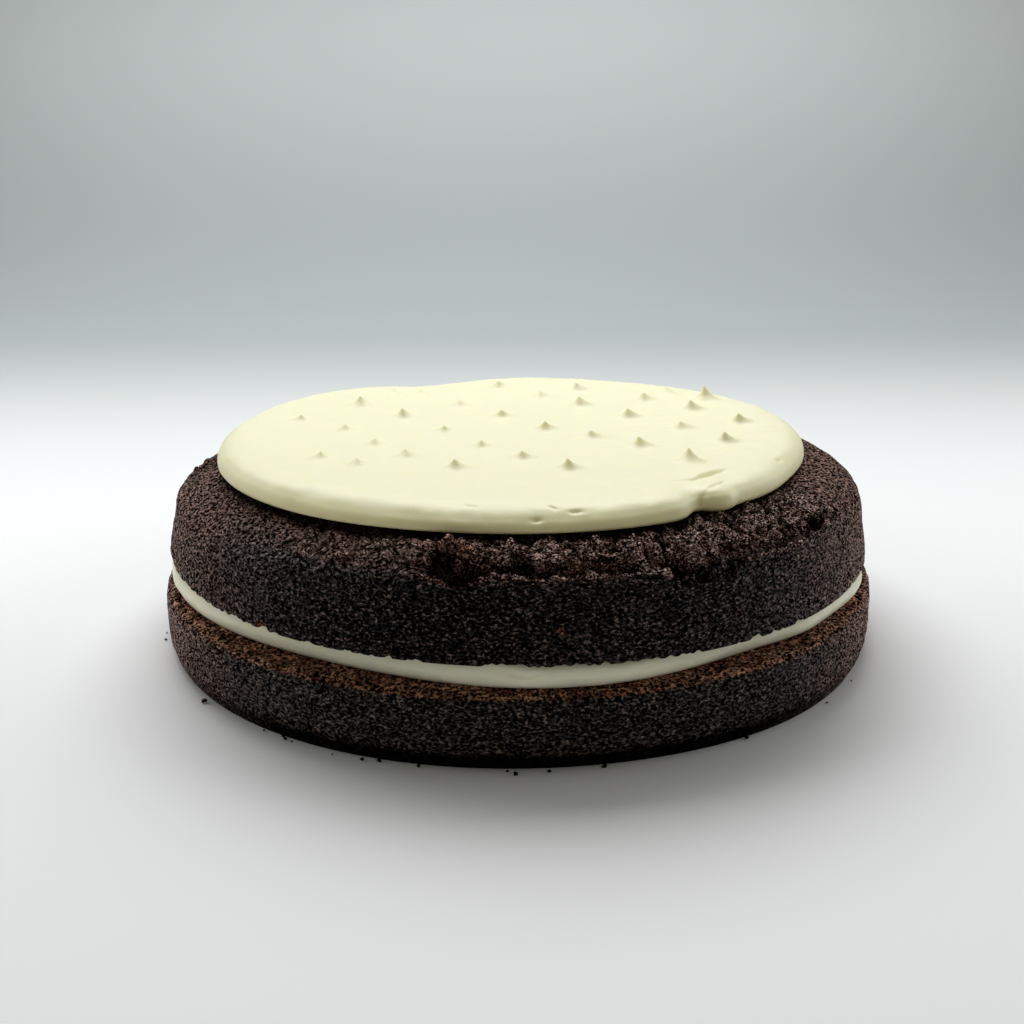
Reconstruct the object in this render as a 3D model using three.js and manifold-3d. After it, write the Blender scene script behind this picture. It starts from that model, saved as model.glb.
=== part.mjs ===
// Two-layer chocolate sponge cake with a cream filling and a spread cream topping.
// Millimetres, +Z up. The origin is the centre of the cake's foot and -Y is its front.
import * as THREE from 'three';
import { mergeVertices } from 'three/addons/utils/BufferGeometryUtils.js';
import Module from 'manifold-3d';

const wasm = await Module();
wasm.setup();

const TURN = 2 * Math.PI;
const DEGREE = Math.PI / 180;

// Driving dimensions
const CAKE_RADIUS = 120.3;
const LOWER_HEIGHT = 21.9;
const UPPER_FOOT = 29.5;
const SIDE_HEIGHT = 19;
const DOME_HEIGHT = 31.5;
const CREAM_THICKNESS = 6.5;
const GAP = 0.3;

// Lower sponge
const FOOT_HEIGHT = 7;
const FOOT_INSET = 2.2;
const LOWER_SQUARENESS = 1.1;
const LOWER_SECTORS = 90;

// Filling
const FILLING_RADIUS = 112.8;
const FILLING_LOBES = 5;
const FILLING_LOBE_DEPTH = 2.3;
const FILLING_LOBE_TURN = 82 * DEGREE;
const FILLING_SECTORS = 90;

// Where the filling is squeezed out further than its lobes
const FILLING_SQUEEZES = [
  { at: -42, width: 10, reach: 4 },
  { at: -26, width: 9, reach: 3 },
  { at: -168, width: 14, reach: 2.5 },
];

// Upper sponge
const UPPER_RADIUS = 117.4;
const UPPER_TILT = -0.012;
const DOME_FALL = 0.167;
const COLLAR_HEIGHT = 23.9;
const COLLAR_FROM = -104 * DEGREE;
const COLLAR_TO = -31 * DEGREE;
const COLLAR_FADE = 7 * DEGREE;
const UPPER_SECTORS = 112;

// The shoulder is soft and wide at the left and tight at the right
const TIGHT_SHOULDER = { flat: 94, inset: 2.5, curve: 1.9 };
const SOFT_SHOULDER = { flat: 88, inset: 3.5, curve: 1.05 };
const SHOULDER_POWER = 1.6;
const ROUND_STEPS = [0.97, 0.91, 0.84, 0.77, 0.68, 0.55, 0.4, 0.2, 0];
const TORN_STEPS = [0.74, 0.6, 0.42, 0.2, 0];
const TORN_FROM = 101;
const TORN_LIFT = 0.8;

// Rises and dips of the collar, the torn edge of the side's skin
const COLLAR_WAVES = [
  { at: -99, width: 2.6, rise: -3.2 },
  { at: -91.5, width: 2.2, rise: 1 },
  { at: -76, width: 5, rise: 0.9 },
  { at: -68, width: 2, rise: -2.2 },
  { at: -63, width: 1.4, rise: -1 },
  { at: -47, width: 1.6, rise: -0.8 },
  { at: -35, width: 5, rise: 3.6 },
];

// Cracks and hollows in the torn crumb behind the collar, from end to end in plan
const FURROWS = [
  { from: [-28, -105.5], to: [-13, -111], width: 4.2, depth: 2.8 },
  { from: [-3, -108.5], to: [5, -110.5], width: 3, depth: 3 },
  { from: [37.5, -94], to: [40, -105.5], width: 2.6, depth: 3.6 },
  { from: [40, -104], to: [46.5, -105.5], width: 3.6, depth: 4 },
  { from: [45, -104.5], to: [57, -98.5], width: 2.8, depth: 3.2 },
  { from: [74, -78.5], to: [77, -83], width: 2, depth: 2.4 },
  { from: [77.5, -81.5], to: [84.5, -75.5], width: 2.2, depth: 2.8 },
];

// Folds pushed up beside the cracks
const FOLDS = [
  { from: [-31, -101], to: [-7, -110.5], width: 5, rise: 1.6 },
  { from: [-4, -103], to: [18, -106], width: 8, rise: 0.7 },
  { from: [44, -97], to: [60, -90], width: 8, rise: 1 },
];

// Topping
const TOPPING_CENTRE = new THREE.Vector2(0, -8);
const TOPPING_RADIUS = 94.8;
const TOPPING_SECTORS = 90;
const CREAM_BRIDGE = 0.45;
const CREAM_BRIDGE_TOP = 0.25;
// Offset from the rim and height of each row of the topping's edge: full, and sloping gently in front
const FULL_EDGE = [
  [-0.7, 0.02], [0.9, 0.12], [1.6, 0.3], [1.3, 0.53], [-0.1, 0.76], [-2.5, 0.92], [-6.5, 0.985], [-22, 1],
];
const SLOPED_EDGE = [
  [-0.7, 0.02], [0.9, 0.09], [1.5, 0.21], [1, 0.37], [-0.9, 0.59], [-4, 0.82], [-8.5, 0.95], [-15, 1],
];
const SLOPED_AT = -100 * DEGREE;
const SLOPED_WIDTH = 45 * DEGREE;
const DAB = { at: [56, -74.6], across: [7.6, 5.4, 3.5], turn: -35, lift: 3.4 };

// Place in plan and height of each drawn-up peak
const PEAKS = [
  [-74, 8, 0.8], [-56, 30, 3.6], [-39, 15, 3.2], [-57, -6, 1.4], [-45, -26, 1.2], [-60, -43, 1.4],
  [-48, -52, 1.6], [-34, -41, 2], [-18, -55, 2.8], [-24, -6, 1], [-11, -27, 1.2], [-20, 34, 2],
  [-5, 17, 2.4], [2, -42, 2], [-6, 67, 1.8], [10, -2, 3], [10, 49, 1.4], [24, 61, 2.6],
  [24, 35, 3.4], [25, -14, 1.9], [16, -55, 3.3], [40, 16, 2.9], [48, 40, 2.8], [57, 50, 2.3],
  [56, -4, 2.4], [40, -26, 3], [53, -46, 4], [70, 36, 5], [63, 21, 3.5], [76, 2, 3.1],
  [68, -22, 3.2], [-36, 58, 1.2], [-46, 55, 0.8],
];

function smoothStep(low, high, value) {
  const share = Math.min(1, Math.max(0, (value - low) / (high - low)));
  return share * share * (3 - 2 * share);
}

function bell(offset, width) {
  return Math.exp(-((offset / width) ** 2));
}

// A repeatable value from 0 to 1 for one seed
function chance(seed) {
  const value = Math.sin(seed * 12.9898) * 43758.5453;
  return value - Math.floor(value);
}

// Angle from one azimuth to another, between minus and plus half a turn
function turnBetween(azimuth, from) {
  return azimuth - from - TURN * Math.round((azimuth - from) / TURN);
}

// How far a point in plan lies from the middle of a bar, as a share of the bar's half length and width
function barShare(x, y, bar) {
  const [x0, y0] = bar.from;
  const [x1, y1] = bar.to;
  const length = Math.hypot(x1 - x0, y1 - y0);
  const ahead = ((x - (x0 + x1) / 2) * (x1 - x0) + (y - (y0 + y1) / 2) * (y1 - y0)) / length;
  const aside = ((x - x0) * (y1 - y0) - (y - y0) * (x1 - x0)) / length;
  return Math.hypot(ahead / (length / 2), aside / (bar.width / 2));
}

// The cut plane under the upper sponge
function upperFoot(x) {
  return UPPER_FOOT + UPPER_TILT * x;
}

// Height of a point of the upper sponge: the dome falls gently towards the back
function upperHeight(x, y, rise) {
  return upperFoot(x) + rise * (1 - (DOME_FALL * (y + UPPER_RADIUS)) / (2 * UPPER_RADIUS));
}

// Shoulder at an azimuth, between the tight one and the soft one
function shoulderAt(azimuth) {
  const soft = smoothStep(0.1, 0.95, -Math.cos(azimuth));
  const mix = (key) => TIGHT_SHOULDER[key] + soft * (SOFT_SHOULDER[key] - TIGHT_SHOULDER[key]);
  return { flat: mix('flat'), inset: mix('inset'), edge: UPPER_RADIUS - mix('inset'), curve: mix('curve') };
}

// Fall of the dome below its flat top at a radius
function domeDrop(radius, azimuth) {
  const shoulder = shoulderAt(azimuth);
  const share = Math.min(1, Math.max(0, (radius - shoulder.flat) / (shoulder.edge - shoulder.flat)));
  return (DOME_HEIGHT - SIDE_HEIGHT) * (1 - (1 - share ** SHOULDER_POWER) ** (1 / shoulder.curve));
}

// Slight unevenness of a sponge's rim in plan
function rimWobble(azimuth, seed) {
  let wobble = 0;
  for (let wave = 2; wave <= 7; wave += 1) {
    wobble += (0.5 / wave) * Math.cos(wave * azimuth + TURN * chance(seed + wave));
  }
  return wobble;
}

// Uneven crumb of a torn surface
function tornCrumb(x, y) {
  let height = 0;
  for (let wave = 1; wave <= 6; wave += 1) {
    const heading = TURN * chance(wave);
    const length = 11 + 3 * wave;
    const along = x * Math.cos(heading) + y * Math.sin(heading);
    height += Math.sin((TURN * along) / length + TURN * chance(wave + 20));
  }
  return height / 6;
}

// Share of the collar at an azimuth: whole at the front right, none where the shoulder is rounded
function collarShare(azimuth) {
  const offset = turnBetween(azimuth, (COLLAR_FROM + COLLAR_TO) / 2);
  const reach = (COLLAR_TO - COLLAR_FROM) / 2;
  return 1 - smoothStep(reach - COLLAR_FADE, reach + COLLAR_FADE, Math.abs(offset));
}

function collarHeight(azimuth) {
  return COLLAR_WAVES.reduce((height, wave) => {
    const offset = turnBetween(azimuth, wave.at * DEGREE);
    return height + wave.rise * bell(offset, wave.width * DEGREE);
  }, COLLAR_HEIGHT);
}

// Closed solid turned about +Z, whose outline may change with the azimuth
function turned(outlineAt, sectors) {
  const geometry = new THREE.LatheGeometry(outlineAt(0), sectors);
  const position = geometry.attributes.position;
  const rows = position.count / (sectors + 1);
  for (let index = 0; index < position.count; index += 1) {
    const sector = Math.floor(index / rows);
    const azimuth = (TURN * sector) / sectors - Math.PI / 2;
    const point = outlineAt(azimuth)[index % rows];
    position.setXYZ(index, point.x * Math.cos(azimuth), point.x * Math.sin(azimuth), point.y);
  }
  return merged(geometry);
}

function merged(geometry) {
  geometry.deleteAttribute('normal');
  geometry.deleteAttribute('uv');
  return mergeVertices(geometry, 1e-4);
}

function moveVertices(geometry, move) {
  const position = geometry.attributes.position;
  const point = new THREE.Vector3();
  for (let index = 0; index < position.count; index += 1) {
    point.fromBufferAttribute(position, index);
    move(point);
    position.setXYZ(index, point.x, point.y, point.z);
  }
  return geometry;
}

function toManifold(geometry) {
  const vertProperties = new Float32Array(geometry.attributes.position.array);
  const triVerts = new Uint32Array(geometry.index.array);
  return new wasm.Manifold(new wasm.Mesh({ numProp: 3, vertProperties, triVerts }));
}

function fromManifold(solid) {
  const mesh = solid.getMesh();
  const geometry = new THREE.BufferGeometry();
  geometry.setAttribute('position', new THREE.Float32BufferAttribute(mesh.vertProperties, 3));
  geometry.setIndex(Array.from(mesh.triVerts));
  return geometry;
}

function asVectors(points) {
  return points.map(([radius, height]) => new THREE.Vector2(radius, height));
}

// Tin-baked layer with a foot rounded under and its top cut flat
function lowerSponge() {
  const outlineAt = (azimuth) => {
    const rim = CAKE_RADIUS + rimWobble(azimuth, 3) + LOWER_SQUARENESS * Math.cos(4 * azimuth - Math.PI);
    const edge = LOWER_HEIGHT - 0.9 + 0.5 * Math.sin(9 * azimuth) * Math.cos(4 * azimuth);
    const foot = [0, 0.25, 0.5, 0.75].map((share) => {
      return [rim - FOOT_INSET * (1 - share) ** 2, FOOT_HEIGHT * share];
    });
    return asVectors([
      [0, 0],
      [rim - 40, 0],
      ...foot,
      [rim, FOOT_HEIGHT],
      [rim + 0.2, 13],
      [rim - 0.1, edge - 1.6],
      [rim - 1.2, edge],
      [rim - 4, LOWER_HEIGHT - 0.2],
      [rim - 12, LOWER_HEIGHT],
      [0, LOWER_HEIGHT],
    ]);
  };
  return turned(outlineAt, LOWER_SECTORS);
}

// Rim of the filling: soft lobes, and places where it is squeezed out further
function fillingRim(azimuth) {
  const lobe = FILLING_LOBE_DEPTH * Math.cos(FILLING_LOBES * (azimuth + FILLING_LOBE_TURN));
  return FILLING_SQUEEZES.reduce((rim, squeeze) => {
    return rim + squeeze.reach * bell(turnBetween(azimuth, squeeze.at * DEGREE), squeeze.width * DEGREE);
  }, FILLING_RADIUS + lobe);
}

// Cream between the layers, its face bulging a little
function creamFilling() {
  const bottom = LOWER_HEIGHT + GAP;
  const top = UPPER_FOOT - GAP;
  const outlineAt = (azimuth) => {
    const rim = fillingRim(azimuth);
    return asVectors([
      [0, bottom],
      [rim - 0.5, bottom],
      [rim + 0.3, bottom + 1.2],
      [rim + 0.9, bottom + 3.4],
      [rim + 0.4, bottom + 5.6],
      [rim - 0.8, top],
      [0, top],
    ]);
  };
  return moveVertices(turned(outlineAt, FILLING_SECTORS), (point) => {
    const share = (point.z - bottom) / (top - bottom);
    point.z += share * (upperFoot(point.x) - UPPER_FOOT);
  });
}

// Outline of the upper layer, in heights above its own foot
function upperOutline(azimuth) {
  const shoulder = shoulderAt(azimuth);
  const wobble = rimWobble(azimuth, 31);
  const side = (height) => {
    return [UPPER_RADIUS - shoulder.inset * (height / SIDE_HEIGHT) ** 1.3 + wobble, height];
  };
  const dome = (share) => {
    const radius = shoulder.flat + share * (shoulder.edge - shoulder.flat);
    return [radius + wobble * share ** 3, DOME_HEIGHT - domeDrop(radius, azimuth)];
  };
  const rim = side(SIDE_HEIGHT)[0];
  const collar = collarHeight(azimuth);
  const smooth = ROUND_STEPS.map(dome);
  const crisp = [
    [rim - 0.1, 0.4 * SIDE_HEIGHT + 0.6 * collar],
    [rim - 0.3, collar],
    [rim - 1.2, collar + 0.1],
    [rim - 1.9, collar - 1.1],
    ...TORN_STEPS.map(dome),
  ];
  const torn = collarShare(azimuth);
  const upper = smooth.map((point, row) => {
    return point.map((value, axis) => value + torn * (crisp[row][axis] - value));
  });
  return asVectors([
    [0, 0],
    [UPPER_RADIUS - 5, 0],
    [UPPER_RADIUS + wobble - 0.6, 0],
    [UPPER_RADIUS + wobble - 0.1, 0.6],
    side(5),
    side(10),
    side(15),
    side(SIDE_HEIGHT),
    ...upper,
    [0, DOME_HEIGHT],
  ]);
}

// Long hollow that a crack leaves in the crumb
function furrowCutter(furrow) {
  const [x0, y0] = furrow.from;
  const [x1, y1] = furrow.to;
  const geometry = new THREE.SphereGeometry(1, 10, 6);
  geometry.scale(Math.hypot(x1 - x0, y1 - y0) / 2, furrow.width / 2, furrow.depth);
  geometry.rotateZ(Math.atan2(y1 - y0, x1 - x0));
  const x = (x0 + x1) / 2;
  const y = (y0 + y1) / 2;
  geometry.translate(x, y, domeTop(x, y) + TORN_LIFT);
  return toManifold(merged(geometry));
}

// Height of the dome's smooth surface
function domeTop(x, y) {
  return upperHeight(x, y, DOME_HEIGHT - domeDrop(Math.hypot(x, y), Math.atan2(y, x)));
}

// Relief of the torn crumb between the topping and the collar
function tornRelief(x, y) {
  const radius = Math.hypot(x, y);
  const inside = smoothStep(UPPER_RADIUS - 4, UPPER_RADIUS - 7, radius);
  const open = collarShare(Math.atan2(y, x)) * smoothStep(TORN_FROM, TORN_FROM + 4, radius) * inside;
  const folds = FOLDS.reduce((rise, fold) => rise + fold.rise * bell(barShare(x, y, fold), 1), 0);
  return open * (TORN_LIFT + 0.8 * tornCrumb(x, y) + folds);
}

// Domed layer: rounded shoulder, and at the front right a torn crumb behind the collar
function upperSponge() {
  const body = moveVertices(turned(upperOutline, UPPER_SECTORS), (point) => {
    const relief = point.z > SIDE_HEIGHT ? tornRelief(point.x, point.y) : 0;
    point.z = upperHeight(point.x, point.y, point.z + relief);
  });
  const cutters = FURROWS.map(furrowCutter);
  return fromManifold(cutters.reduce((solid, cutter) => solid.subtract(cutter), toManifold(body)));
}

// Rim of the spread cream at its foot, with a notch beside the dab
function toppingRim(azimuth) {
  const lean = -2 * Math.cos(azimuth) + 3 * Math.sin(azimuth) + 0.7 * Math.cos(2 * azimuth);
  const right = 0.8 * bell(turnBetween(azimuth, 12 * DEGREE), 14 * DEGREE);
  const reach = 2 * bell(turnBetween(azimuth, 50 * DEGREE), 30 * DEGREE) + right;
  const notch = -3.6 * bell(turnBetween(azimuth, -55 * DEGREE), 3.5 * DEGREE);
  const beside = -1.5 * bell(turnBetween(azimuth, -46 * DEGREE), 9 * DEGREE);
  const draw = -1.6 * bell(turnBetween(azimuth, -24 * DEGREE), 14 * DEGREE);
  return TOPPING_RADIUS + lean + reach + notch + beside + draw;
}

// The cream lies thicker at the right and round the back, with a low place at the back left
function rimRise(azimuth) {
  const back = 1.3 * smoothStep(-0.1, 0.7, Math.sin(azimuth));
  const right = 2 * bell(turnBetween(azimuth, 12 * DEGREE), 30 * DEGREE);
  return back + right - 2.6 * bell(turnBetween(azimuth, 112 * DEGREE), 14 * DEGREE);
}

// Height of the topping's surface, from 0 at its foot to 1 on its top: where the dome falls away
// under its rim, the stiff cream bridges a part of the fall
function toppingHeight(x, y, share) {
  const fromCentre = Math.hypot(x - TOPPING_CENTRE.x, y - TOPPING_CENTRE.y);
  const azimuth = Math.atan2(y - TOPPING_CENTRE.y, x - TOPPING_CENTRE.x);
  const outer = smoothStep(0.35, 0.9, fromCentre / toppingRim(azimuth));
  const drop = domeDrop(Math.hypot(x, y), Math.atan2(y, x));
  const thickness = CREAM_THICKNESS + CREAM_BRIDGE_TOP * drop + outer * rimRise(azimuth);
  return domeTop(x, y) + GAP + CREAM_BRIDGE * drop + share * thickness;
}

// Size of one drawn-up peak and the side it leans to, mostly the left
function peakAt([x, y, height], index) {
  return { x, y, height, radius: 2.4 + 0.4 * height, lean: Math.PI + 2.4 * (chance(index + 1) - 0.5) };
}

// Concave cone with its tip pulled a little to one side
function peakSolid(peak) {
  const profile = asVectors([
    [0, -1],
    [peak.radius, -0.4],
    [peak.radius * 0.55, 0.26 * peak.height],
    [peak.radius * 0.22, 0.68 * peak.height],
    [0, peak.height],
  ]);
  const geometry = moveVertices(turned(() => profile, 10), (point) => {
    const pull = 0.35 * Math.max(0, point.z);
    point.x += peak.x + pull * Math.cos(peak.lean);
    point.y += peak.y + pull * Math.sin(peak.lean);
    point.z += toppingHeight(peak.x, peak.y, 1);
  });
  return toManifold(geometry);
}

// Lump of cream dropped on the rim
function dabSolid() {
  const [x, y] = DAB.at;
  const geometry = new THREE.SphereGeometry(1, 16, 10);
  geometry.scale(...DAB.across);
  geometry.rotateZ(DAB.turn * DEGREE);
  geometry.translate(x, y, toppingHeight(x, y, 0) + DAB.lift);
  return toManifold(merged(geometry));
}

// Thick disc of cream with a rolled-over edge, its dab and its drawn-up peaks
function creamTopping() {
  const outlineAt = (azimuth) => {
    const rim = toppingRim(azimuth);
    const slope = smoothStep(SLOPED_WIDTH, SLOPED_WIDTH / 2, Math.abs(turnBetween(azimuth, SLOPED_AT)));
    const edge = FULL_EDGE.map(([offset, height], row) => [
      rim + offset + slope * (SLOPED_EDGE[row][0] - offset),
      height + slope * (SLOPED_EDGE[row][1] - height),
    ]);
    return asVectors([[0, 0], [rim - 14, 0], [rim - 7, 0], ...edge, [rim - 40, 1], [0, 1]]);
  };
  const disc = moveVertices(turned(outlineAt, TOPPING_SECTORS), (point) => {
    point.x += TOPPING_CENTRE.x;
    point.y += TOPPING_CENTRE.y;
    point.z = toppingHeight(point.x, point.y, point.z);
  });
  const lumps = [dabSolid(), ...PEAKS.map((peak, index) => peakSolid(peakAt(peak, index)))];
  return fromManifold(lumps.reduce((solid, lump) => solid.add(lump), toManifold(disc)));
}

// Materials
function spongeMaterial() {
  return new THREE.MeshStandardMaterial({ color: 0x33261f, roughness: 0.95, metalness: 0 });
}

function creamMaterial(color) {
  return new THREE.MeshStandardMaterial({ color, roughness: 0.5, metalness: 0 });
}

function piece(name, geometry, material) {
  const mesh = new THREE.Mesh(geometry, material);
  mesh.name = name;
  return mesh;
}

const cake = new THREE.Group();
cake.add(piece('lower_sponge', lowerSponge(), spongeMaterial()));
cake.add(piece('cream_filling', creamFilling(), creamMaterial(0xe9e6d2)));
cake.add(piece('upper_sponge', upperSponge(), spongeMaterial()));
cake.add(piece('cream_topping', creamTopping(), creamMaterial(0xf6f2d6)));

export default cake;
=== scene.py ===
# Two-layer chocolate sponge cake with a cream filling and a spread cream topping.
# Lengths are millimetres in the frame of the solids until a mesh is written, in metres. -Y is the front.
import math

import bmesh
import bpy
import numpy as np
from mathutils import Matrix, Vector, noise


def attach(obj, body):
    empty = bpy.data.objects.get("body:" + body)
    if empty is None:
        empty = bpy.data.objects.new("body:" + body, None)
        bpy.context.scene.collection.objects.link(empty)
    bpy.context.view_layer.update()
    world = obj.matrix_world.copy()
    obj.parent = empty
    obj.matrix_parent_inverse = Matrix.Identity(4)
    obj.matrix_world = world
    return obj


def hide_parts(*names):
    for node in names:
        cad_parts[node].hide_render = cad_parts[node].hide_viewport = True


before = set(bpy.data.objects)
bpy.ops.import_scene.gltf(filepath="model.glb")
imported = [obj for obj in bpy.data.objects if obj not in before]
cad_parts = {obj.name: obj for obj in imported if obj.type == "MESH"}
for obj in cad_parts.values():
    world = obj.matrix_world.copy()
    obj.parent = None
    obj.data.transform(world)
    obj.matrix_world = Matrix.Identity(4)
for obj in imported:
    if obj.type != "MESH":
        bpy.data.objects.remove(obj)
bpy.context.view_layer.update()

TURN = 2 * math.pi
MM = 0.001

# Driving dimensions, as in the solids
CAKE_RADIUS = 120.3
LOWER_HEIGHT = 21.9
UPPER_FOOT = 29.5
SIDE_HEIGHT = 19
DOME_HEIGHT = 31.5
CREAM_THICKNESS = 6.5
GAP = 0.3

# Lower sponge
FOOT_HEIGHT = 7
FOOT_INSET = 2.2
LOWER_SQUARENESS = 1.1
LOWER_SECTORS = 1080
LOWER_SEED = 3

# Filling
FILLING_RADIUS = 112.8
FILLING_LOBES = 5
FILLING_LOBE_DEPTH = 2.3
FILLING_LOBE_TURN = math.radians(82)
FILLING_SQUEEZES = ((-42, 10, 4), (-26, 9, 3), (-168, 14, 2.5))
FILLING_SECTORS = 900

# Upper sponge
UPPER_RADIUS = 117.4
UPPER_TILT = -0.012
DOME_FALL = 0.167
COLLAR_HEIGHT = 23.9
COLLAR_FROM = math.radians(-104)
COLLAR_TO = math.radians(-31)
COLLAR_FADE = math.radians(7)
UPPER_SECTORS = 1440
UPPER_SEED = 31
TIGHT_SHOULDER = {"flat": 94, "inset": 2.5, "curve": 1.9}
SOFT_SHOULDER = {"flat": 88, "inset": 3.5, "curve": 1.05}
SHOULDER_POWER = 1.6
ROUND_STEPS = (0.97, 0.91, 0.84, 0.77, 0.68, 0.55, 0.4, 0.2, 0)
TORN_STEPS = (0.74, 0.6, 0.42, 0.2, 0)
TORN_FROM = 101
TORN_LIFT = 0.8

# Azimuth and width in degrees, and rise, of each wave of the collar, the torn edge of the side's skin
COLLAR_WAVES = (
    (-99, 2.6, -3.2),
    (-91.5, 2.2, 1),
    (-76, 5, 0.9),
    (-68, 2, -2.2),
    (-63, 1.4, -1),
    (-47, 1.6, -0.8),
    (-35, 5, 3.6),
)

# Ends in plan, width and depth of each crack in the torn crumb
FURROWS = (
    ((-28, -105.5), (-13, -111), 4.2, 2.8),
    ((-3, -108.5), (5, -110.5), 3, 3),
    ((37.5, -94), (40, -105.5), 2.6, 3.6),
    ((40, -104), (46.5, -105.5), 3.6, 4),
    ((45, -104.5), (57, -98.5), 2.8, 3.2),
    ((74, -78.5), (77, -83), 2, 2.4),
    ((77.5, -81.5), (84.5, -75.5), 2.2, 2.8),
)

# Ends in plan, width and rise of each fold pushed up beside the cracks
FOLDS = (
    ((-31, -101), (-7, -110.5), 5, 1.6),
    ((-4, -103), (18, -106), 8, 0.7),
    ((44, -97), (60, -90), 8, 1),
)

# Ends in plan, width and depth of each slit and hole in the torn crumb
SLITS = (
    ((-27, -105.5), (-14, -110.5), 1.8, 1.6),
    ((-2.5, -108), (3, -109.6), 2.4, 2.4),
    ((37, -93), (41, -100), 2.2, 2.6),
    ((42, -104), (52, -102), 4.2, 3),
    ((49, -103), (64, -94), 2.8, 3),
    ((67, -91.5), (84, -76), 2.4, 2.6),
    ((49.4, -86.5), (51.8, -93), 1.6, 2),
    ((52.6, -83.5), (55.4, -91), 1.6, 2.2),
    ((58.8, -84), (62, -90), 1.7, 2.2),
    ((64.6, -79), (68.2, -87.5), 1.6, 2.2),
    ((70, -74), (72, -80.5), 1.5, 1.8),
    ((73.6, -73), (79, -80), 1.7, 2.2),
    ((77.6, -67), (82.4, -72), 1.6, 2),
    ((86, -71.5), (91, -63.5), 1.8, 2.2),
    ((11.5, -102), (17, -107.5), 1.6, 1.8),
    ((23.5, -100), (28, -106.5), 1.6, 1.8),
)

# Ends in plan, width and rise of each thin ridge of crumb along a crack
RIDGES = (
    ((-31, -100.5), (-7, -110.5), 3, 2.4),
    ((10, -107.5), (24, -108), 1.8, 0.8),
    ((42, -98), (56, -94.5), 2.2, 0.9),
)

# Heights and depths of the baked skin's relief and of the torn crumb's
SKIN_LIFT = 0.1
SKIN_PITS = 0.25
SKIN_SWELL = 0.3
SKIN_GRAIN = 0.1
CRUMB_LIFT = -0.4
CRUMB_CLUMPS = 2.6
CRUMB_SLITS = 1.6
CRUMB_SWELL = 1.2
CRUMB_GRAIN = 0.5

# Share of the paler inner crumb, with a painted highlight, that a ridge shows for each millimetre of its
# rise
RIDGE_PALENESS_AND_PAINTED_HIGHLIGHT = 0.28

# Outline stations between which the lip of the collar lies
LIP_FROM = 8.6
LIP_TO = 11

# Radii between which the skin of the dome gives way to open crumb, where there is a collar
OPEN_FROM = 84
OPEN_TO = 92

# Azimuth, width and share of the crazed skin beside the torn crumb
CRAZED_AT = math.radians(-115)
CRAZED_WIDTH = math.radians(20)
CRAZED_SHARE = 0.56

# Gap between the collar and the torn crumb behind it
RIFT_INSET = 3.3
RIFT_WIDTH = 3.2
RIFT_DEPTH = 2.9

# How far the close shade under the rim of the topping reaches
SHADE_REACH = 4.2

# Place and radius of each nick in the side of the upper sponge, open to its redder crumb
NICKS = (
    ((11, -117, 39.6), 1.5),
    ((7.5, -117, 43), 0.8),
    ((-72, -92, 30.5), 1.9),
    ((60, -100, 38), 0.9),
)

# Place in plan, radius and rise of each clod of crumb that stands up at the left shoulder
CLODS = (
    (-102.4, -3, 1.5, 1.9),
    (-104.9, -5, 1.6, 2.4),
    (-107.2, -6.4, 1.3, 1.7),
    (-109, -5.2, 1.3, 2.1),
    (-110.6, -6.2, 0.9, 1.2),
    (-100, -1, 1.3, 1.2),
)

# Topping
TOPPING_CENTRE = (0, -8)
TOPPING_RADIUS = 94.8
TOPPING_SECTORS = 480
SLOPED_AT = math.radians(-100)
SLOPED_WIDTH = math.radians(45)
CREAM_BRIDGE = 0.45
CREAM_BRIDGE_TOP = 0.25
DAB_AT = (56, -74.6)
DAB_ACROSS = (7.6, 5.4, 3.5)
DAB_TURN = math.radians(-35)
DAB_LIFT = 3.4
DAB_SWELL = 0.4

# Offset from the rim and height of each row of the topping's edge: full, and sloping gently in front
FULL_EDGE = (
    (-0.7, 0.02), (0.9, 0.12), (1.6, 0.3), (1.3, 0.53), (-0.1, 0.76), (-2.5, 0.92), (-6.5, 0.985), (-22, 1),
)
SLOPED_EDGE = (
    (-0.7, 0.02), (0.9, 0.09), (1.5, 0.21), (1, 0.37), (-0.9, 0.59), (-4, 0.82), (-8.5, 0.95), (-15, 1),
)

# Radius of a peak's foot, its growth with the height, how sharply it is drawn out and how far it leans
PEAK_RADIUS = 2.8
PEAK_GROWTH = 0.3
PEAK_SHARPNESS = 3.6
PEAK_LEAN = 0.35

# Place in plan and height of each drawn-up peak
PEAKS = (
    (-74, 8, 0.8), (-56, 30, 3.6), (-39, 15, 3.2), (-57, -6, 1.4), (-45, -26, 1.2), (-60, -43, 1.4),
    (-48, -52, 1.6), (-34, -41, 2), (-18, -55, 2.8), (-24, -6, 1), (-11, -27, 1.2), (-20, 34, 2),
    (-5, 17, 2.4), (2, -42, 2), (-6, 67, 1.8), (10, -2, 3), (10, 49, 1.4), (24, 61, 2.6),
    (24, 35, 3.4), (25, -14, 1.9), (16, -55, 3.3), (40, 16, 2.9), (48, 40, 2.8), (57, 50, 2.3),
    (56, -4, 2.4), (40, -26, 3), (53, -46, 4), (70, 36, 5), (63, 21, 3.5), (76, 2, 3.1),
    (68, -22, 3.2), (-36, 58, 1.2), (-46, 55, 0.8),
)

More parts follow.
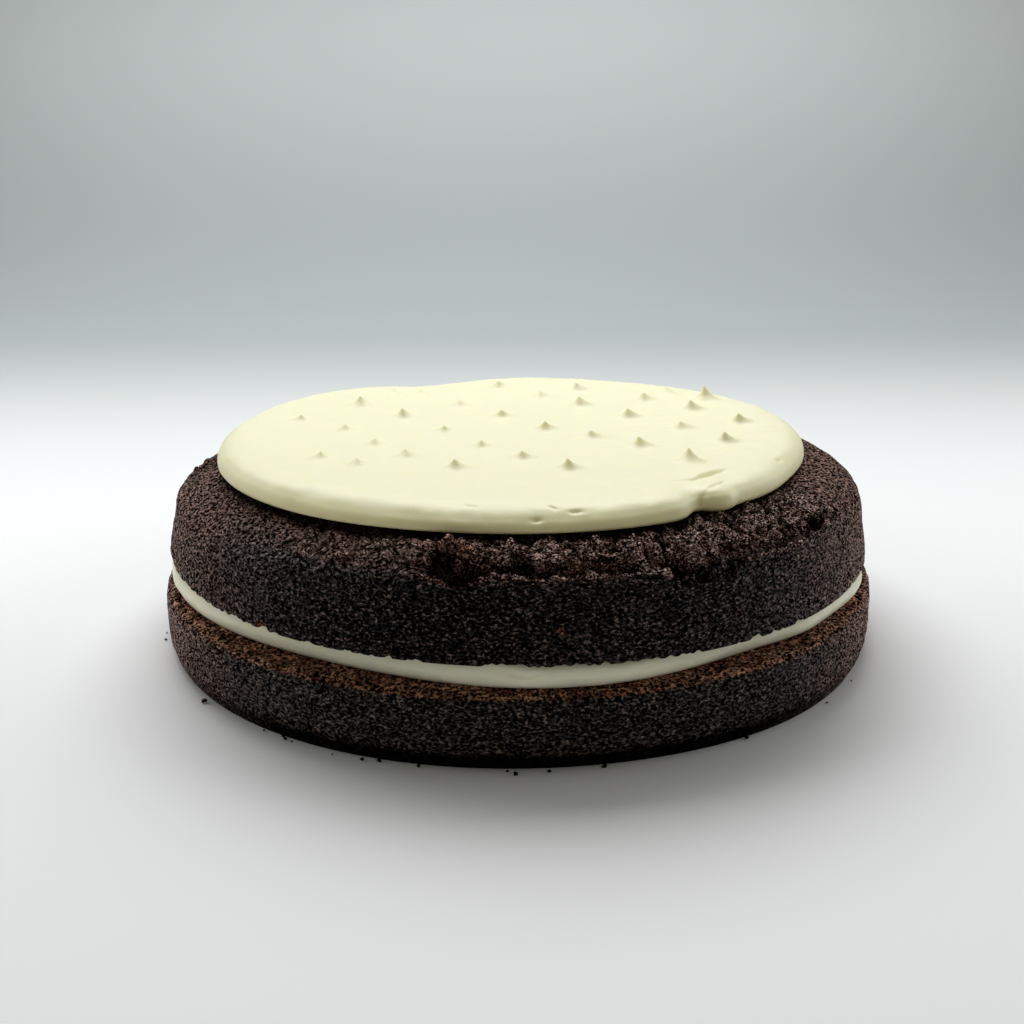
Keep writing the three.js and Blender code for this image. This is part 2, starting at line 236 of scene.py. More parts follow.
# Ends, width and depth of each crease and dimple in the topping; a negative depth stands up
TOPPING_MARKS = (
    ((42.5, -68, 66.3), (53, -66.6, 66.1), 0.7, 0.45),
    ((51.5, -67, 66.1), (63, -55.2, 65.8), 0.9, 0.8),
    ((50.5, -64.6, 66.2), (60.5, -54.4, 65.9), 1.6, -0.5),
    ((60.5, -67.5, 66.2), (54.8, -75.5, 65.7), 0.7, 0.55),
    ((56, -74, 65.9), (50.8, -80.2, 63), 0.75, 0.9),
    ((64.6, -73.2, 64.9), (65.6, -72.6, 64.2), 0.9, 0.6),
    ((7.4, -92.3, 66.6), (10.6, -94.3, 66), 0.7, 0.4),
    ((13.6, -95, 65.5), (17.4, -94.3, 65.5), 0.8, 0.5),
    ((3.4, -98.5, 64.1), (6.1, -97.9, 64.4), 0.9, 0.6),
    ((-15.4, -91.3, 66.7), (-11.2, -93.2, 66.5), 0.7, 0.35),
    ((32.5, -78.4, 66.5), (35.9, -76.4, 66.6), 1.4, 0.5),
    ((80, -43.2, 65.2), (82, -42.4, 64.8), 1, 0.5),
    ((-54, -13.4, 66.1), (-51.8, -13.8, 66.1), 1.3, 0.6),
)

# Ends, width and depth of each crease in the filling
FILLING_MARKS = (
    ((-2.1, -115.2, 26.9), (1.2, -115.6, 25.8), 0.5, 0.55),
    ((1.2, -115.6, 25.8), (4.4, -115.6, 26.7), 0.5, 0.55),
    ((45.3, -104.5, 27.6), (48.4, -103, 24.4), 0.7, 0.8),
    ((-72, -92, 25.2), (-70, -93, 24.6), 0.7, 0.5),
)

# Loose crumbs
RING_CRUMBS = 80
FOOT_CRUMBS = 26
CRUMB_RADIUS = 0.42

# How much closer the sectors stand at the front than at the mean
CROWDING = 0.25

# Colours of the sponge
# Skin colours: in front they carry a painted shade, and beside the front and on the shoulder a painted sheen
LOWER_FRONT_SKIN_PAINTED_SHADE = 0x4E4A42
UPPER_FRONT_SKIN_PAINTED_SHADE = 0x171818
LOWER_SIDE_SKIN_PAINTED_SHEEN = 0xCE9480
UPPER_SIDE_SKIN_PAINTED_SHEEN = 0xB07C68
DARK_PATCH = 0x503A34
# Painted highlights at the tips of the ridges, of the skin and of the torn crumb
SKIN_TIP_PAINTED_HIGHLIGHT = 0xD2AE9C
TORN_CRUMB = 0x9C6654
DRY_TORN_CRUMB = 0xC09486
TORN_CRUMB_TIP_PAINTED_HIGHLIGHT = 0xFFF0E6
CUT_CRUMB = 0xB86E50
CUT_STREAK = 0xFFBC90
# Painted shade in the pores
PORE_PAINTED_SHADE = 0x030202

# Colours of the cream, the paper under and behind the cake, and the light from all round
FILLING_CREAM = 0xFEF8DA
TOPPING_CREAM = 0xFDF9D0
TOPPING_EDGE_PAINTED_SHADE = 0xF5EAB6
NEAR_PAPER = 0xFAFCFE
# Painted shade of the paper behind the cake, and higher up
FAR_PAPER_PAINTED_SHADE = 0x9EA5A5
RAISED_PAPER_PAINTED_SHADE = 0xBEC4C4
ROOM_LIGHT = 0xF6EFD8

# Floor and backdrop, in metres: front edge, start and radius of the sweep, height and width
FLOOR_FRONT = -1.6
SWEEP_START = 0.62
SWEEP_RADIUS = 0.4
SWEEP_CUTS = 16
WALL_HEIGHT = 1.6
FLOOR_WIDTH = 4.8

# Place, aim, width and depth in metres, and power in watts, of each light
LIGHTS = {
    "overhead": ((-0.1, 0.62, 0.85), (0, 0.05, 0), (1.1, 0.7), 11.5),
    "left": ((-0.85, 0.22, 0.38), (0, 0, 0.04), (0.8, 0.7), 2.1),
    "right": ((0.85, 0.22, 0.38), (0, 0, 0.04), (0.8, 0.7), 2.5),
    "front": ((0, -1.3, 0.5), (0, 0, 0.04), (1.6, 0.9), 1.4),
}
ROOM_STRENGTH = 0.1

# Camera, in metres, degrees and millimetres of lens, as the photo's perspective asks
CAMERA_PLACE = (-0.001858, -0.43032, 0.1743)
CAMERA_FALL = 17.958
CAMERA_ROLL = -0.4147
CAMERA_LENS = 45.7


def smooth_step(low, high, value):
    share = np.clip((value - low) / (high - low), 0, 1)
    return share * share * (3 - 2 * share)


def bell(offset, width):
    return np.exp(-((offset / width) ** 2))


# A repeatable value from 0 to 1 for one seed
def chance(seed):
    value = np.sin(seed * 12.9898) * 43758.5453
    return value - np.floor(value)


# Angle from one azimuth to another, between minus and plus half a turn
def turn_between(azimuth, start):
    return azimuth - start - TURN * np.round((azimuth - start) / TURN)


# How far points in plan lie from the middle of a bar, as a share of its half length and width
def bar_share(x, y, start, end, width):
    length = math.dist(start, end)
    along = ((end[0] - start[0]) / length, (end[1] - start[1]) / length)
    ahead = (x - (start[0] + end[0]) / 2) * along[0] + (y - (start[1] + end[1]) / 2) * along[1]
    aside = (x - start[0]) * along[1] - (y - start[1]) * along[0]
    return np.hypot(ahead / (length / 2), aside / (width / 2))


# Share of a mark at points: 1 in the middle of the line between two places, falling off along and beside it
def near_line(points, start, end, width):
    start, end = np.array(start), np.array(end)
    half = (end - start) / 2
    offset = points - (start + end) / 2
    along = offset @ half / (half @ half)
    aside = np.linalg.norm(offset - along[:, None] * half, axis=1)
    return np.exp(-(np.abs(along) ** 3)) * bell(aside, width)


# Coordinates in plan of a radius at an azimuth
def in_plan(radius, azimuth):
    return radius * np.cos(azimuth), radius * np.sin(azimuth)


# Points in the ground plane
def on_ground(x, y):
    return np.stack([x, y, 0 * x], -1)


# Signed noise at points, with lumps of about a size
def grain(points, size, seed):
    places = points / size + 31.7 * seed
    return np.array([noise.noise(place) for place in places.tolist()])


def upper_foot(x):
    return UPPER_FOOT + UPPER_TILT * x


# Height of a point of the upper sponge: the dome falls gently towards the back
def upper_height(x, y, rise):
    return upper_foot(x) + rise * (1 - DOME_FALL * (y + UPPER_RADIUS) / (2 * UPPER_RADIUS))


# Flat radius, inset and curve of the shoulder: soft and wide at the left and tight at the right
def shoulder_at(azimuth):
    soft = smooth_step(0.1, 0.95, -np.cos(azimuth))
    return {key: tight + soft * (SOFT_SHOULDER[key] - tight) for key, tight in TIGHT_SHOULDER.items()}


# Fall of the dome below its flat top at a radius
def dome_drop(radius, azimuth):
    shoulder = shoulder_at(azimuth)
    edge = UPPER_RADIUS - shoulder["inset"]
    share = np.clip((radius - shoulder["flat"]) / (edge - shoulder["flat"]), 0, 1)
    return (DOME_HEIGHT - SIDE_HEIGHT) * (1 - (1 - share**SHOULDER_POWER) ** (1 / shoulder["curve"]))


def dome_top(x, y):
    return upper_height(x, y, DOME_HEIGHT - dome_drop(np.hypot(x, y), np.arctan2(y, x)))


# Slight unevenness of a sponge's rim in plan
def rim_wobble(azimuth, seed):
    return sum(0.5 / wave * np.cos(wave * azimuth + TURN * chance(seed + wave)) for wave in range(2, 8))


# Uneven crumb of a torn surface
def torn_crumb(x, y):
    height = 0
    for wave in range(1, 7):
        heading = TURN * chance(wave)
        along = x * math.cos(heading) + y * math.sin(heading)
        height = height + np.sin(TURN * along / (11 + 3 * wave) + TURN * chance(wave + 20))
    return height / 6


# Share of the collar at an azimuth: whole at the front right, none where the shoulder is rounded
def collar_share(azimuth):
    offset = np.abs(turn_between(azimuth, (COLLAR_FROM + COLLAR_TO) / 2))
    reach = (COLLAR_TO - COLLAR_FROM) / 2
    return 1 - smooth_step(reach - COLLAR_FADE, reach + COLLAR_FADE, offset)


def collar_height(azimuth):
    return COLLAR_HEIGHT + sum(
        rise * bell(turn_between(azimuth, math.radians(at)), math.radians(width))
        for at, width, rise in COLLAR_WAVES
    )


# Where the crumb behind the collar lies open
def torn_share(x, y):
    radius = np.hypot(x, y)
    inside = smooth_step(UPPER_RADIUS - 4, UPPER_RADIUS - 7, radius)
    return collar_share(np.arctan2(y, x)) * smooth_step(TORN_FROM, TORN_FROM + 4, radius) * inside


def torn_relief(x, y):
    raised = (*FOLDS, *RIDGES)
    folds = sum(rise * bell(bar_share(x, y, start, end, width), 1) for start, end, width, rise in raised)
    return torn_share(x, y) * (TORN_LIFT + 0.8 * torn_crumb(x, y) + folds)


# Outline rows as an array of row, point, and radius and height
def outline_of(rows, azimuth):
    flat = [np.stack(np.broadcast_arrays(radius + 0 * azimuth, height), -1) for radius, height in rows]
    return np.array(flat)


def lower_outline(azimuth):
    rim = CAKE_RADIUS + rim_wobble(azimuth, LOWER_SEED) + LOWER_SQUARENESS * np.cos(4 * azimuth - math.pi)
    edge = LOWER_HEIGHT - 0.9 + 0.5 * np.sin(9 * azimuth) * np.cos(4 * azimuth)
    foot = [(rim - FOOT_INSET * (1 - share) ** 2, FOOT_HEIGHT * share) for share in (0, 0.25, 0.5, 0.75)]
    return outline_of(
        [
            (0, 0),
            (rim - 40, 0),
            *foot,
            (rim, FOOT_HEIGHT),
            (rim + 0.2, 13),
            (rim - 0.1, edge - 1.6),
            (rim - 1.2, edge),
            (rim - 4, LOWER_HEIGHT - 0.2),
            (rim - 12, LOWER_HEIGHT),
            (0, LOWER_HEIGHT),
        ],
        azimuth,
    )


def filling_rim(azimuth):
    lobe = FILLING_LOBE_DEPTH * np.cos(FILLING_LOBES * (azimuth + FILLING_LOBE_TURN))
    return FILLING_RADIUS + lobe + sum(
        reach * bell(turn_between(azimuth, math.radians(at)), math.radians(width))
        for at, width, reach in FILLING_SQUEEZES
    )


def filling_outline(azimuth):
    bottom = LOWER_HEIGHT + GAP
    top = UPPER_FOOT - GAP
    rim = filling_rim(azimuth)
    return outline_of(
        [
            (0, bottom),
            (rim - 8, bottom),
            (rim - 0.5, bottom),
            (rim + 0.3, bottom + 1.2),
            (rim + 0.9, bottom + 3.4),
            (rim + 0.4, bottom + 5.6),
            (rim - 0.8, top),
            (rim - 8, top),
            (0, top),
        ],
        azimuth,
    )


# Outline of the upper layer, in heights above its own foot
def upper_outline(azimuth):
    shoulder = shoulder_at(azimuth)
    wobble = rim_wobble(azimuth, UPPER_SEED)
    edge = UPPER_RADIUS - shoulder["inset"]

    def side(height):
        return (UPPER_RADIUS - shoulder["inset"] * (height / SIDE_HEIGHT) ** 1.3 + wobble, height)

    def dome(share):
        radius = shoulder["flat"] + share * (edge - shoulder["flat"])
        return (radius + wobble * share**3, DOME_HEIGHT - dome_drop(radius, azimuth))

    rim = side(SIDE_HEIGHT)[0]
    collar = collar_height(azimuth)
    crisp = [
        (rim - 0.1, 0.4 * SIDE_HEIGHT + 0.6 * collar),
        (rim - 0.3, collar),
        (rim - 1.2, collar + 0.1),
        (rim - 1.9, collar - 1.1),
        *(dome(share) for share in TORN_STEPS),
    ]
    torn = collar_share(azimuth)
    upper = []
    for share, (radius, height) in zip(ROUND_STEPS, crisp):
        smooth = dome(share)
        upper.append((smooth[0] + torn * (radius - smooth[0]), smooth[1] + torn * (height - smooth[1])))
    return outline_of(
        [
            (0, 0),
            (UPPER_RADIUS - 5, 0),
            (UPPER_RADIUS + wobble - 0.6, 0),
            (UPPER_RADIUS + wobble - 0.1, 0.6),
            side(5),
            side(10),
            side(15),
            side(SIDE_HEIGHT),
            *upper,
            (0, DOME_HEIGHT),
        ],
        azimuth,
    )


# Radius and azimuth of points about the middle of the topping
def about_topping(x, y):
    across = x - TOPPING_CENTRE[0]
    along = y - TOPPING_CENTRE[1]
    return np.hypot(across, along), np.arctan2(along, across)


# Rim of the spread cream at its foot, with a notch beside the dab
def topping_rim(azimuth):
    def near(at, width):
        return bell(turn_between(azimuth, math.radians(at)), math.radians(width))

    lean = -2 * np.cos(azimuth) + 3 * np.sin(azimuth) + 0.7 * np.cos(2 * azimuth)
    reach = 2 * near(50, 30) + 0.8 * near(12, 14)
    notch = 3.6 * near(-55, 3.5) + 1.5 * near(-46, 9)
    return TOPPING_RADIUS + lean + reach - notch - 1.6 * near(-24, 14)


# The cream lies thicker at the right and round the back, with a low place at the back left
def rim_rise(azimuth):
    back = 1.3 * smooth_step(-0.1, 0.7, np.sin(azimuth))
    right = 2 * bell(turn_between(azimuth, math.radians(12)), math.radians(30))
    return back + right - 2.6 * bell(turn_between(azimuth, math.radians(112)), math.radians(14))


# Height of the topping's surface, from 0 at its foot to 1 on its top: where the dome falls away
# under its rim, the stiff cream bridges a part of the fall
def topping_height(x, y, share):
    radius, azimuth = about_topping(x, y)
    outer = smooth_step(0.35, 0.9, radius / topping_rim(azimuth))
    drop = dome_drop(np.hypot(x, y), np.arctan2(y, x))
    thickness = CREAM_THICKNESS + CREAM_BRIDGE_TOP * drop + outer * rim_rise(azimuth)
    return dome_top(x, y) + GAP + CREAM_BRIDGE * drop + share * thickness


def topping_outline(azimuth):
    rim = topping_rim(azimuth)
    slope = smooth_step(SLOPED_WIDTH, SLOPED_WIDTH / 2, np.abs(turn_between(azimuth, SLOPED_AT)))
    edge = [
        (rim + offset + slope * (sloped[0] - offset), height + slope * (sloped[1] - height))
        for (offset, height), sloped in zip(FULL_EDGE, SLOPED_EDGE)
    ]
    return outline_of([(0, 0), (rim - 14, 0), (rim - 7, 0), *edge, (rim - 40, 1), (0, 1)], azimuth)


def length_of(steps):
    return np.maximum(np.hypot(steps[:, :1], steps[:, 1:]), 0.01)


# Points of an outline between its rows: straight where crisp is 1, and curved where it is 0
def along_outline(rows, stations, crisp):
    last = len(rows) - 1
    lower = np.minimum(np.floor(stations).astype(int), last - 1)
    share = (stations - lower)[:, None]
    place = np.arange(len(stations))
    before, start, end, after = (rows[np.clip(lower + step, 0, last), place] for step in (-1, 0, 1, 2))
    slopes = [(start - before) / length_of(start - before), (end - start) / length_of(end - start)]
    slopes += [(after - end) / length_of(after - end)]
    reach = length_of(end - start)
    leave = reach * (slopes[0] + slopes[1]) / 2
    arrive = reach * (slopes[1] + slopes[2]) / 2
    eased = share * share * (3 - 2 * share)
    curved = start + eased * (end - start)
    curved += share * (1 - share) * ((1 - share) * leave - share * arrive)
    straight = start + share * (end - start)
    return curved + np.reshape(crisp, (-1, 1)) * (straight - curved)


# Closed form to be placed on an outline: a tube of radius 1 with its ends drawn together, whose heights
# are outline stations. cuts[n] is the number of faces between the outline's rows n and n + 1.
def lathe(cuts, sectors):
    heights = [row + cut / count for row, count in enumerate(cuts) for cut in range(count)] + [len(cuts)]
    last = len(heights) - 1
    bm = bmesh.new()
    bmesh.ops.create_grid(bm, x_segments=sectors, y_segments=last, size=1)
    for vertex in bm.verts:
        azimuth = math.pi * vertex.co.x
        row = round(last * (vertex.co.y + 1) / 2)
        reach = 0 if row in (0, last) else 1
        vertex.co = (reach * math.cos(azimuth), reach * math.sin(azimuth), heights[row])
    bmesh.ops.remove_doubles(bm, verts=bm.verts, dist=1e-4)
    bmesh.ops.recalc_face_normals(bm, faces=bm.faces)
    return bm


# Azimuth and outline station of each vertex of a lathe form, its sectors crowded to the front
def places_of(bm, crowding):
    places = np.array([vertex.co for vertex in bm.verts])
    spun = np.arctan2(places[:, 1], places[:, 0])
    return spun - crowding * np.sin(spun) - TURN / 4, places[:, 2]


# Splits the faces whose vertices are chosen into four
def refine(bm, chosen):
    bm.verts.index_update()
    edges = [edge for edge in bm.edges if all(chosen[vertex.index] for vertex in edge.verts)]
    bmesh.ops.subdivide_edges(bm, edges=edges, cuts=1, use_grid_fill=True)


def to_mesh(bm, name):
    mesh = bpy.data.meshes.new(name)
    bm.to_mesh(mesh)
    bm.free()
    return mesh


def read_points(mesh):
    flat = np.empty(3 * len(mesh.vertices))
    mesh.vertices.foreach_get("co", flat)
    return flat.reshape(-1, 3)


def write_points(mesh, points):
    mesh.vertices.foreach_set("co", points.ravel())
    mesh.update()


# Smooth mesh with the faces of a lathe form, at other points
def to_smooth_mesh(bm, name, points):
    mesh = to_mesh(bm, name)
    write_points(mesh, points)
    for polygon in mesh.polygons:
        polygon.use_smooth = True
    return mesh


def normals_of(mesh):
    flat = np.empty(3 * len(mesh.vertices))
    mesh.vertex_normals.foreach_get("vector", flat)
    return flat.reshape(-1, 3)


def write_values(mesh, name, values):
    mesh.attributes.new(name, "FLOAT", "POINT").data.foreach_set("value", values.astype(np.float32))


def add_object(name, data):
    made = bpy.data.objects.new(name, data)
    bpy.context.scene.collection.objects.link(made)
    return made


# One shown piece: in metres, riding on the body and standing for its solid
def add_piece(name, mesh, material, solid):
    write_points(mesh, read_points(mesh) * MM)
    mesh.materials.append(material)
    piece = add_object(name, mesh)
    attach(piece, "root")
    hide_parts(solid)


# Cuts the cracks into the torn crumb, ragged at their edges
def cut_furrows(x, y, z):
    ragged = 0.45 * grain(on_ground(x, y), size=1.9, seed=5)
    deepest = np.zeros_like(z)
    for start, end, width, depth in (*FURROWS, *SLITS):
        share = bar_share(x, y, start, end, width) + ragged
        floor = dome_top(x, y) + TORN_LIFT - 1.5 * depth * np.clip(1 - share, 0, 1) ** 0.7
        fall = np.where(share < 1, np.maximum(z - floor, 0), 0)
        deepest = np.maximum(deepest, fall)
    return deepest


def upper_sponge_mesh():
    cuts = [3, 4, 2, 10, 11, 11, 9, 7, 5, 3, 4, 8, 7, 8, 9, 8, 3]
    bm = lathe(cuts, UPPER_SECTORS)
    azimuth, station = places_of(bm, CROWDING)
    outline = along_outline(upper_outline(azimuth), station, collar_share(azimuth))
    x, y = in_plan(outline[:, 0], azimuth)
    height = outline[:, 1]
    above = smooth_step(SIDE_HEIGHT, SIDE_HEIGHT + 1, height)
    z = upper_height(x, y, height + above * torn_relief(x, y))
    lip = smooth_step(LIP_FROM, LIP_FROM + 0.3, station) * smooth_step(LIP_TO, LIP_TO - 0.6, station)
    inside = smooth_step(UPPER_RADIUS - 4, UPPER_RADIUS - 7, outline[:, 0])
    crazed = CRAZED_SHARE * bell(turn_between(azimuth, CRAZED_AT), CRAZED_WIDTH)
    broken = np.maximum(collar_share(azimuth), crazed)
    opened = broken * smooth_step(OPEN_FROM, OPEN_TO, outline[:, 0]) * inside
    torn = np.maximum(opened, lip * collar_share(azimuth))
    sunk_and_painted_shade = above * np.maximum(cut_furrows(x, y, z), open_rift(x, y, azimuth))
    z = z - sunk_and_painted_shade + raise_clods(x, y, z)
    shown = smooth_step(0.2, 1.2, height) * smooth_step(74, 80, outline[:, 0])
    mesh = to_smooth_mesh(bm, "upper_sponge", np.stack([x, y, z + fray_foot(x, y, height)], -1))
    relieve_crumb(mesh, torn, shown)
    open_nicks(mesh)
    # Painted shade: the deeper cracks and the rift are darkened, and the sponge close under the topping's
    # rim
    write_values(mesh, "sunk_and_painted_shade", np.maximum(smooth_step(0.6, 2.3, sunk_and_painted_shade), painted_shadow_under_topping(x, y)))
    return mesh


# Depth of the gap that runs behind the collar: deep in places, nearly shut in others, shallower at the right
def open_rift(x, y, azimuth):
    uneven = grain(on_ground(x, y), size=6, seed=8)
    ragged = 0.5 * grain(on_ground(x, y), size=1.8, seed=9)
    middle = UPPER_RADIUS - TIGHT_SHOULDER["inset"] + rim_wobble(azimuth, UPPER_SEED) - RIFT_INSET
    share = (np.hypot(x, y) - middle) / (RIFT_WIDTH / 2) + ragged
    nearer = 1 - 0.45 * smooth_step(-1, -0.75, turn_between(azimuth, 0))
    depth = nearer * RIFT_DEPTH * collar_share(azimuth) * np.clip(0.65 + 1.4 * uneven, 0.15, 1.4)
    return depth * np.sqrt(np.clip(1 - share**2, 0, 1))


# Painted shadow under the rim of the topping: how closely the sponge lies under it
def painted_shadow_under_topping(x, y):
    radius, azimuth = about_topping(x, y)
    reach = SHADE_REACH * (0.3 + 0.7 * smooth_step(-0.55, -0.95, np.sin(azimuth)))
    return smooth_step(1, 0.4, (radius - topping_rim(azimuth)) / reach)


def raise_clods(x, y, z):
    ragged = 0.5 * grain(np.stack([x, y, z], -1), size=1.6, seed=10)
    tallest = np.zeros_like(z)
    for at_x, at_y, radius, rise in CLODS:
        share = np.hypot(x - at_x, y - at_y) / radius + ragged
        tallest = np.maximum(tallest, rise * np.sqrt(np.clip(1 - share**2, 0, 1)))
    return np.where(z > UPPER_FOOT + 9, tallest, 0)


# Ragged teeth along the foot of the side, where crumb has come away
def fray_foot(x, y, height):
    near_rim = smooth_step(UPPER_RADIUS - 6, UPPER_RADIUS - 3, np.hypot(x, y))
    places = on_ground(x, y)
    teeth = 1.8 * grain(places, size=1.9, seed=11) + 1.2 * grain(places, size=7, seed=15)
    return smooth_step(2.4, 0.3, height) * near_rim * np.clip(teeth, 0, 1.2)


# Presses each nick into the side and marks its crumb, and the ridges' crumb, as cut: on the ridges partly
# paler inner crumb and partly a painted highlight
def open_nicks(mesh):
    points = read_points(mesh)
    normals = normals_of(mesh)
    ragged = 0.5 * grain(points, size=1.4, seed=12)
    cut = np.zeros(len(points))
    for place, radius in NICKS:
        share = np.linalg.norm(points - np.array(place), axis=1) / (1.3 * radius) + ragged
        cut = np.maximum(cut, np.sqrt(np.clip(1 - share**2, 0, 1)))
    write_points(mesh, points - normals * cut[:, None])
    for start, end, width, rise in RIDGES:
        bare = rise * bell(bar_share(points[:, 0], points[:, 1], start, end, width), 0.8)
        cut = np.maximum(cut, RIDGE_PALENESS_AND_PAINTED_HIGHLIGHT * bare)
    write_values(mesh, "cut", cut)


# Uneven crumb where a sponge's surface shows: shallow pits in the baked skin, and rounded clumps with
# slits between them where it is torn
def relieve_crumb(mesh, torn, shown):
    points = read_points(mesh)
    normals = normals_of(mesh)
    fine = grain(points, size=1.3, seed=4)
    lumps = grain(points, size=6, seed=3)
    pits = smooth_step(0.06, 0.42, np.abs(grain(points, size=2.4, seed=1)))
    baked = SKIN_LIFT - SKIN_PITS * pits + SKIN_SWELL * lumps + SKIN_GRAIN * fine
    clumps = np.abs(grain(points, size=3.1, seed=2))
    slits = bell(grain(points * np.array([1, 0.6, 1]), size=5, seed=6), 0.08)
    open_crumb = CRUMB_LIFT + CRUMB_CLUMPS * clumps - CRUMB_SLITS * slits
    open_crumb += CRUMB_SWELL * lumps + CRUMB_GRAIN * fine
    rise = shown * (baked + torn * (open_crumb - baked))
    write_points(mesh, points + normals * rise[:, None])
    write_values(mesh, "torn", torn)


# One half of a closed mesh, its cut closed with a flat face
def half_of(mesh, name, front):
    bm = bmesh.new()
    bm.from_mesh(mesh)
    side = -1 if front else 1
    away = [face for face in bm.faces if face.calc_center_median().y * side < 0]
    bmesh.ops.delete(bm, geom=away, context="FACES")
    border = [edge for edge in bm.edges if edge.is_boundary]
    closed = bmesh.ops.holes_fill(bm, edges=border, sides=0)
    for face in closed["faces"]:
        face.smooth = False
    for edge in border:
        edge.smooth = False
    bmesh.ops.recalc_face_normals(bm, faces=bm.faces)
    return to_mesh(bm, name)


def add_upper_sponge(material):
    whole = upper_sponge_mesh()
    for name, front in (("upper_sponge_front", True), ("upper_sponge_back", False)):
        add_piece(name, half_of(whole, name, front), material, "upper_sponge")
    bpy.data.meshes.remove(whole)


def add_lower_sponge(material):
    cuts = [3, 8, 4, 4, 4, 4, 13, 15, 5, 7, 16, 3]
    bm = lathe(cuts, LOWER_SECTORS)
    azimuth, station = places_of(bm, CROWDING)
    outline = along_outline(lower_outline(azimuth), station, 0.5)
    x, y = in_plan(outline[:, 0], azimuth)
    height = np.maximum(outline[:, 1], 0)
    cut = smooth_step(LOWER_HEIGHT - 1.6, LOWER_HEIGHT - 0.6, height)
    mesh = to_smooth_mesh(bm, "lower_sponge", np.stack([x, y, height], -1))
    shown = smooth_step(0.2, 1.2, height) * smooth_step(103, 108, outline[:, 0])
    relieve_crumb(mesh, 0.25 * cut, shown)
    write_values(mesh, "cut", cut)
    write_values(mesh, "sunk_and_painted_shade", 0 * cut)
    add_piece("lower_sponge_dressed", mesh, material, "lower_sponge")


def add_filling(material):
    cuts = [2, 4, 3, 5, 5, 3, 4, 2]
    bm = lathe(cuts, FILLING_SECTORS)
    azimuth, station = places_of(bm, CROWDING)
    outline = along_outline(filling_outline(azimuth), station, 0.3)
    x, y = in_plan(outline[:, 0], azimuth)
    share = (outline[:, 1] - LOWER_HEIGHT - GAP) / (UPPER_FOOT - LOWER_HEIGHT - 2 * GAP)
    z = outline[:, 1] + share * (upper_foot(x) - UPPER_FOOT)
    mesh = to_smooth_mesh(bm, "cream_filling", np.stack([x, y, z], -1))
    press_marks(mesh, FILLING_MARKS, 0.25 * smooth_step(0.02, 0.2, share) * smooth_step(0.98, 0.8, share))
    add_piece("cream_filling_dressed", mesh, material, "cream_filling")


# Presses creases and dimples into cream along its normals, over a faint unevenness from spreading
def press_marks(mesh, marks, unevenness):
    points = read_points(mesh)
    rise = unevenness * (2 * grain(points, size=11, seed=13) + grain(points, size=4, seed=14))
    for start, end, width, depth in marks:
        rise = rise - depth * near_line(points, start, end, width)
    write_points(mesh, points + normals_of(mesh) * rise[:, None])


# The topping's surface before its marks are pressed in: points, and the share that counts as its top
def topping_points(bm):
    azimuth, station = places_of(bm, 0)
    outline = along_outline(topping_outline(azimuth), station, 0)
    across, along = in_plan(outline[:, 0], azimuth)
    x = across + TOPPING_CENTRE[0]
    y = along + TOPPING_CENTRE[1]
    points = np.stack([x, y, topping_height(x, y, outline[:, 1])], -1)
    upper = smooth_step(0.85, 0.97, outline[:, 1])
    for index in range(len(PEAKS)):
        draw_up(points, upper, index)
    return swell_dab(points, outline[:, 1]), outline[:, 1]


# Draws the cream up into one concave peak, its tip pulled to one side, mostly the left
def draw_up(points, upper, index):
    x, y, height = PEAKS[index]
    radius = PEAK_RADIUS + PEAK_GROWTH * height
    lean = math.pi + 2.4 * (chance(index + 1) - 0.5)
    inward = np.clip(1 - np.hypot(points[:, 0] - x, points[:, 1] - y) / (1.6 * radius), 0, 1)
    mound = min(0.3 * height + 1, 1.7)
    tip = max(1.05 * height - 0.9 * mound, 1)
    rise = upper * (mound * smooth_step(0, 1.1, inward) + tip * inward**PEAK_SHARPNESS)
    points[:, 0] += PEAK_LEAN * rise * math.cos(lean)
    points[:, 1] += PEAK_LEAN * rise * math.sin(lean)
    points[:, 2] += rise


# Swells the rim where the knife left a dab of cream: a flattened ball that merges with the cream round it
def swell_dab(points, share):
    centre = np.array([*DAB_AT, topping_height(*np.array(DAB_AT), 0) + DAB_LIFT])
    turned = np.array(Matrix.Rotation(-DAB_TURN, 3, "Z"))
    local = (points - centre) @ turned.T / (1.25 * np.array(DAB_ACROSS))
    length = np.maximum(np.linalg.norm(local, axis=1), 0.3)
    outward = np.where(share > 0.02, DAB_SWELL * np.clip(1 - length, 0, 1) ** 0.8 / length, 0)
    return points + (local * outward[:, None] * DAB_ACROSS) @ turned


# Vertices near the peaks, the dab and the marks, within a reach that shrinks for each finer round
def finer_places(points, share, reach):
    near = np.zeros(len(points), bool)
    for x, y, height in PEAKS:
        away = np.hypot(points[:, 0] - x, points[:, 1] - y)
        near |= (share > 0.9) & (away < reach * (2.4 + 0.4 * height))
    for start, end, width, _ in TOPPING_MARKS:
        near |= near_line(points, start, end, 2.5 * reach * width) > 0.3
    dab = np.hypot(points[:, 0] - DAB_AT[0], points[:, 1] - DAB_AT[1]) < 7 * reach
    return near | (dab & (share > 0.02))


def add_topping(material):
    cuts = [3, 3, 4, 3, 3, 3, 4, 5, 6, 12, 16, 40]
    bm = lathe(cuts, TOPPING_SECTORS)
    for reach in (1.5, 0.8):
        refine(bm, finer_places(*topping_points(bm), reach))
    points, share = topping_points(bm)
    mesh = to_smooth_mesh(bm, "cream_topping", points)
    press_marks(mesh, TOPPING_MARKS, 0.14 * smooth_step(0.1, 0.5, share))
    # Painted shade: the yellower tone down the side of the topping
    write_values(mesh, "edge", smooth_step(0.97, 0.2, share))
    add_piece("cream_topping_dressed", mesh, material, "cream_topping")


